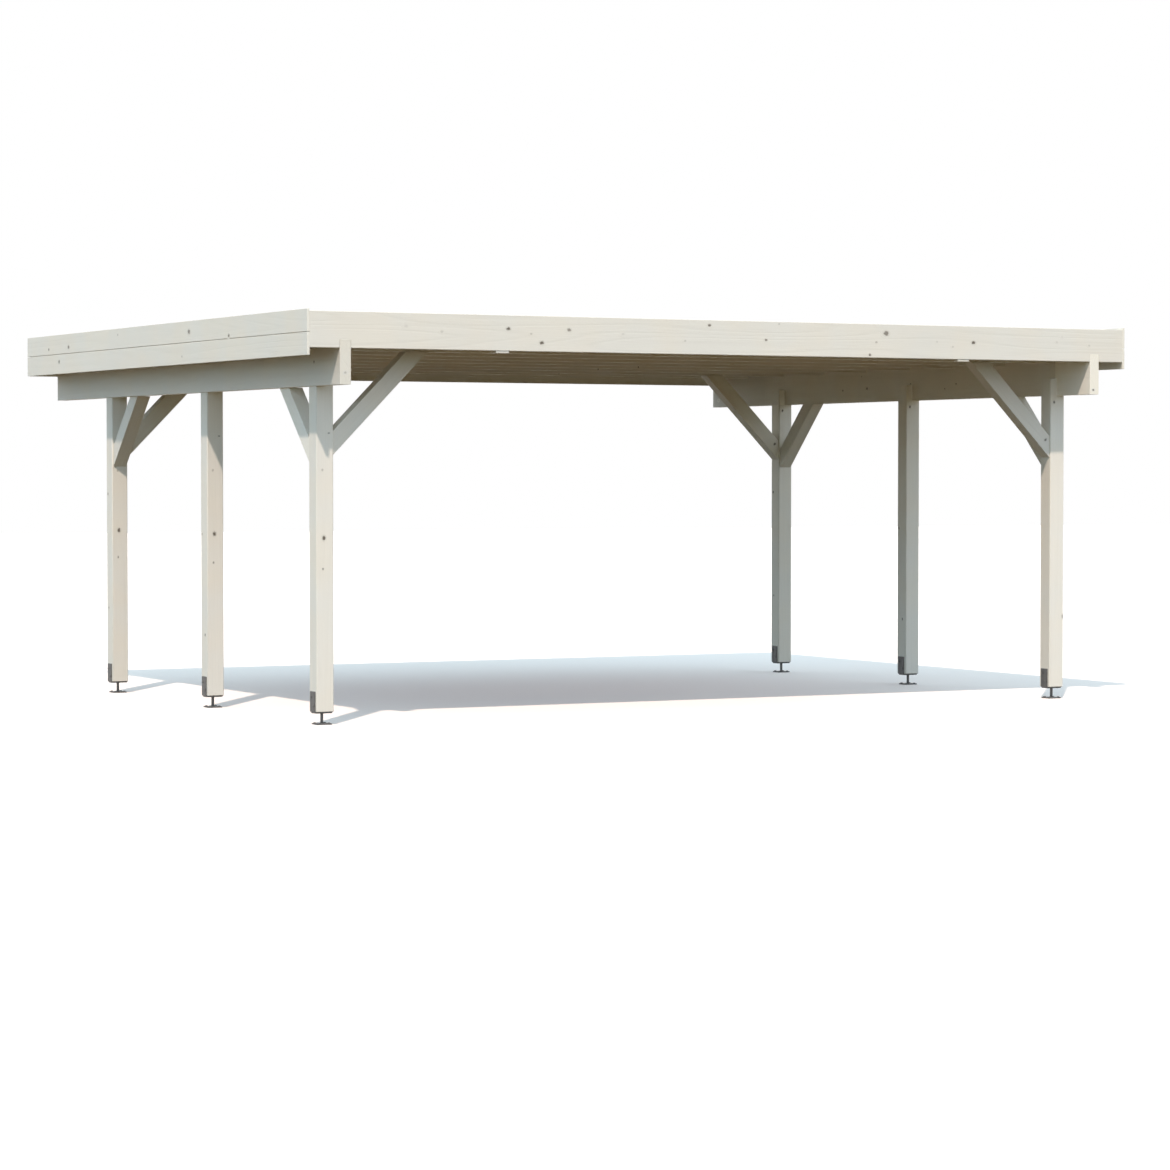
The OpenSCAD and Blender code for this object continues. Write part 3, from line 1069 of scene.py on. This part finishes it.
def knot_material(way):
    made, tree, shader = principled("knots_" + way)
    finish = grained(tree, way, attribute(tree, "tone"), 0.0)
    spot = add(tree, "ShaderNodeAttribute", {"attribute_name": "spot"}).outputs["Vector"]
    flat = vector_calc(tree, "MULTIPLY", spot, (1, 1, 0))
    parts = add(tree, "ShaderNodeSeparateXYZ", Vector=flat)
    reach = add(tree, "ShaderNodeVectorMath", {"operation": "LENGTH"}, Vector=flat).outputs["Value"]
    ragged = calc(tree, "MULTIPLY_ADD", noise_at(tree, object_place(tree), RAGGED_SCALE, 2.0),
                  RAGGED_DEPTH, calc(tree, "SUBTRACT", reach, RAGGED_DEPTH / 2))
    strength = attribute(tree, "strength")
    core = calc(tree, "MULTIPLY", remap(tree, ragged, *CORE_EDGE), strength)
    halo = calc(tree, "MULTIPLY", remap(tree, ragged, *HALO_EDGE), HALO_SHARE)
    narrow = remap(tree, calc(tree, "ABSOLUTE", parts.outputs["Y"]), *TAIL_WIDTH)
    short = remap(tree, calc(tree, "ABSOLUTE", parts.outputs["X"]), *TAIL_LENGTH, 0.0, TAIL_SHARE)
    around = calc(tree, "MAXIMUM", halo, calc(tree, "MULTIPLY", narrow, short))
    around = calc(tree, "MULTIPLY", around, remap(tree, reach, *RIM_EDGE))
    shaded = calc(tree, "MULTIPLY", around, strength)
    tone = blend(tree, shaded, finish.outputs["Colour"], KNOT_HALO)
    set_inputs(tree, shader, Base_Color=blend(tree, core, tone, KNOT_CORE),
               Roughness=remap(tree, core, 0.0, 1.0, *KNOT_ROUGH), Specular_IOR_Level=TIMBER_SPECULAR)
    return made


print("knot colours:", KNOT_CORE, KNOT_HALO)

# %% Knot tree
KNOT_PROUD = 0.0003
KNOT_CORNERS = 20


def knot_tree(way):
    tree, given, out = new_group("knots_" + way, "GeometryNodeTree",
                                 [GEOMETRY, ("Proud", "NodeSocketFloat", KNOT_PROUD)], [GEOMETRY])
    disc = add(tree, "GeometryNodeMeshCylinder", Vertices=KNOT_CORNERS, Radius=1.0, Depth=2.0).outputs[0]
    spot = tree.nodes.new("GeometryNodeInputPosition").outputs[0]
    disc = keep_value(tree, disc, "spot", spot, "POINT", "FLOAT_VECTOR")
    facing = named(tree, "facing", "FLOAT_VECTOR")
    turn = add(tree, "FunctionNodeAxesToRotation", {"primary_axis": "Z", "secondary_axis": "X"},
               Primary_Axis=facing, Secondary_Axis=GRAIN_WAYS[way][1]).outputs[0]
    size = named(tree, "size")
    long = calc(tree, "MULTIPLY", size, named(tree, "stretch"))
    wide = add(tree, "ShaderNodeCombineXYZ", X=long, Y=size, Z=given.outputs["Proud"]).outputs[0]
    knots = add(tree, "GeometryNodeInstanceOnPoints", Points=given.outputs[0], Instance=disc,
                Rotation=turn, Scale=wide).outputs[0]
    ending(tree, knots, knot_material(way), out)
    return tree


print("knot tree ready")

# %% Where the photograph shows knots
STRETCH = 1.3
# On the front rafter: (x, z, half width, strength).
FRONT_KNOTS = (
    (-1.755, 2.567, 0.024, 0.9), (-1.512, 2.480, 0.026, 0.9), (-1.309, 2.568, 0.026, 0.6),
    (-0.250, 2.621, 0.020, 0.8), (0.191, 2.530, 0.018, 0.8), (1.153, 2.592, 0.036, 0.7),
    (1.074, 2.531, 0.016, 0.35), (1.021, 2.443, 0.018, 0.8), (1.876, 2.541, 0.026, 0.9),
    (1.703, 2.509, 0.014, 0.2), (1.570, 2.543, 0.014, 0.15), (2.584, 2.558, 0.018, 0.12),
    (2.629, 2.595, 0.014, 0.10), (2.864, 2.539, 0.016, 0.18), (0.294, 2.640, 0.012, 0.25),
    (-1.589, 2.537, 0.016, 0.25), (-2.232, 2.540, 0.020, 0.18), (-2.487, 2.571, 0.026, 0.10),
    (-0.437, 2.512, 0.014, 0.25), (-0.909, 2.547, 0.020, 0.12))
# On the boards along the left side: (board, y, z, half width, strength).
LEFT_KNOTS = (
    ("upper", -0.676, 2.594, 0.036, 0.8), ("upper", -1.397, 2.543, 0.025, 0.8),
    ("upper", 1.769, 2.570, 0.030, 0.8), ("upper", 2.212, 2.566, 0.022, 0.8),
    ("lower", 1.982, 2.466, 0.028, 0.8), ("upper", 0.717, 2.623, 0.018, 0.3),
    ("lower", -0.545, 2.430, 0.018, 0.3))
# On the front faces of the posts: (off the post's middle, z, half width, strength, stretch).
POST_KNOTS = {
    "left": ((0.028, 1.888, 0.018, 0.65, 0.55), (-0.018, 1.650, 0.016, 0.3, STRETCH),
             (-0.008, 1.210, 0.026, 0.9, STRETCH), (-0.015, 1.010, 0.014, 0.6, STRETCH)),
    "right": ((-0.028, 2.144, 0.018, 0.85, STRETCH),)}
# On the front face of a right cross brace, near its foot, in the same terms.
BRACE_KNOT = (-0.096, 1.873, 0.027, 0.8, 0.7)
# A long mark low on the right front post, in the same terms.
POST_MARK = (0.050, 0.595, 0.009, 0.7, 4.0)
# On the left face of a middle post and of a rear post: (off the middle, z, half width, strength).
POST_SIDE_KNOTS = {"front": (), "middle": ((0.040, 1.208, 0.015, 0.7), (-0.013, 0.507, 0.017, 0.8)),
                   "rear": ((0.031, 1.479, 0.018, 0.8), (0.020, 0.632, 0.015, 0.6))}
# On the front faces of inner rafters, as far as they show from below: (rafter, x, z), all alike.
UNDER_KNOTS = (("rafter_9", 1.094, 2.4395), ("rafter_7", 0.820, 2.4385), ("rafter_6", 0.830, 2.4380))
UNDER_LOOK = (0.013, 0.9, 0.7)
# On the front ends of the purlins: (purlin, x, z, half width, strength).
PURLIN_END_KNOTS = (("right_purlin", 2.902, 2.224, 0.015, 0.8), ("left_purlin", -2.912, 2.267, 0.016, 0.3))
# On the left faces of the purlins: (purlin, y, z, half width, strength).
PURLIN_SIDE_KNOTS = (("right_purlin", 0.241, 2.299, 0.020, 0.8), ("left_purlin", -2.294, 2.346, 0.018, 0.7))
print("knots on the front rafter:", len(FRONT_KNOTS))

# %% Knots seen in the photograph
knots = {way: [] for way in GRAIN_WAYS}


def knot(node, way, point, facing, size, strength, stretch=STRETCH):
    knots[way].append(((point, facing), size, strength, stretch, tones[node]))


def front_knot(node, way, x, z, *look):
    knot(node, way, (x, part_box(node)[0].y, z), FRONTWARD, *look)


def left_knot(node, way, y, z, *look):
    knot(node, way, (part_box(node)[0].x, y, z), LEFTWARD, *look)


for seen in FRONT_KNOTS:
    front_knot("front_rafter", "across", *seen)
for tier, *seen in LEFT_KNOTS:
    left_knot(f"left_{tier}_fascia", "lengthways", *seen)
for side in SIDES:
    for row in ROWS:
        node = f"{side}_{row}_post"
        mid = middle(node)
        for dx, *seen in POST_KNOTS[side]:
            front_knot(node, "upright", mid.x + dx, *seen)
        for dy, *seen in POST_SIDE_KNOTS[row]:
            left_knot(node, "upright", mid.y + dy, *seen)
        if side == "right" and row in CORNERS:
            dx, *seen = BRACE_KNOT
            front_knot(f"right_{row}_cross_brace", "right_cross", mid.x + dx, *seen)
dx, *seen = POST_MARK
front_knot("right_front_post", "upright", middle("right_front_post").x + dx, *seen)
for node, x, z in UNDER_KNOTS:
    front_knot(node, "across", x, z, *UNDER_LOOK)
for node, *seen in PURLIN_END_KNOTS:
    front_knot(node, "across", *seen)
for node, *seen in PURLIN_SIDE_KNOTS:
    left_knot(node, "lengthways", *seen)
print("knots placed:", sum(len(v) for v in knots.values()))

# %% Knots by chance on the other faces
KNOT_SIZES = (0.010, 0.021)
KNOT_STRENGTHS = (0.2, 0.7)
WIDTH_SHARE = 0.22
EDGE_CLEAR = 1.5
RAFTER_FACE_KNOTS = 4
PURLIN_INNER_KNOTS = 6
PURLIN_OUTER_KNOTS = 3
RIGHT_BOARD_KNOTS = 5
REAR_BOARD_KNOTS = 6
POST_FACE_KNOTS = 3
POST_SPAN = (0.3, 1.6)
chance = random.Random(23)


def spread_knots(node, way, facing, count, **spans):
    """Sets out knots on one face of a node's box, clear of the face's edges."""
    low, high = (list(corner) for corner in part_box(node))
    for name, (a, b) in spans.items():
        low["xyz".index(name)], high["xyz".index(name)] = a, b
    axis = max(range(3), key=lambda i: abs(facing[i]))
    width = min(high[i] - low[i] for i in range(3) if i != axis)
    for _ in range(count):
        r = min(chance.uniform(*KNOT_SIZES), width * WIDTH_SHARE)
        clear = r * EDGE_CLEAR
        point = [chance.uniform(a + clear, b - clear) for a, b in zip(low, high)]
        point[axis] = (high if facing[axis] > 0 else low)[axis]
        knot(node, way, tuple(point), facing, r, chance.uniform(*KNOT_STRENGTHS))


post_inner = abs(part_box("left_front_post")[1].x)
rafter_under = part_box("rafter_2")[0].z
for rafter in RAFTERS:
    for facing in (FRONTWARD, REARWARD, DOWNWARD):
        if rafter != "front_rafter" or facing != FRONTWARD:
            spread_knots(rafter, "across", facing, RAFTER_FACE_KNOTS, x=(-post_inner, post_inner))
for side, sign in zip(SIDES, (-1, 1)):
    purlin = f"{side}_purlin"
    below_rafters = (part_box(purlin)[0].z, rafter_under)
    spread_knots(purlin, "lengthways", (-sign, 0, 0), PURLIN_INNER_KNOTS, z=below_rafters)
    if side == "right":
        spread_knots(purlin, "lengthways", RIGHTWARD, PURLIN_OUTER_KNOTS, z=below_rafters)
        for tier in TIERS:
            spread_knots(f"right_{tier}_fascia", "lengthways", RIGHTWARD, RIGHT_BOARD_KNOTS)
    for row in ROWS:
        for facing in (RIGHTWARD, REARWARD):
            spread_knots(f"{side}_{row}_post", "upright", facing, POST_FACE_KNOTS, z=POST_SPAN)
for tier in TIERS:
    spread_knots(f"rear_{tier}_fascia", "across", REARWARD, REAR_BOARD_KNOTS)

for way, listed in knots.items():
    if listed:
        places, sizes, strengths, stretches, shades_of = zip(*listed)
        host = point_mesh("knot_places", places, size=sizes, strength=strengths, stretch=stretches,
                          tone=shades_of)
        grown("knots_" + way, host, knot_tree(way), "primed_timber")

# %% [markdown]
# ## Pads under the front rafter
# The photograph shows two short bright strips right under the front rafter, the same
# distance left and right of the middle, each with a dark line above it. They are kept
# as timber pads set back a little from the rafter's face, so that the sun reaches only
# their lower part.

# %% Pads
PAD_X = 1.795
PAD_HALF = 0.047
PAD_DROP = 0.0145
PAD_BACK = 0.0045
PAD_DEPTH = 0.055
PAD_SUNK = 0.002
PAD_EASE = 0.0015
PAD_TONE = -0.12


def block(shape, low, high):
    """A box between two corners, with eased edges."""
    made = bmesh.ops.create_cube(shape, size=1.0)["verts"]
    for v in made:
        v.co = [a + (c + 0.5) * (b - a) for c, a, b in zip(v.co, low, high)]
    edges = list({e for v in made for e in v.link_edges})
    bmesh.ops.bevel(shape, geom=edges, offset=PAD_EASE, segments=2, profile=0.5, affect="EDGES")


low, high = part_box("front_rafter")
pad_shape = bmesh.new()
for x in (-PAD_X, PAD_X):
    block(pad_shape, (x - PAD_HALF, low.y + PAD_BACK, low.z - PAD_DROP),
          (x + PAD_HALF, low.y + PAD_DEPTH, low.z + PAD_SUNK))
bmesh.ops.recalc_face_normals(pad_shape, faces=pad_shape.faces)
pads = from_bmesh("front_rafter_pads", pad_shape, TIMBER["across"])
set_tone(pads.data, PAD_TONE)
finish_piece(pads, "primed_timber")
print("pads:", len(pads.data.polygons), "faces")
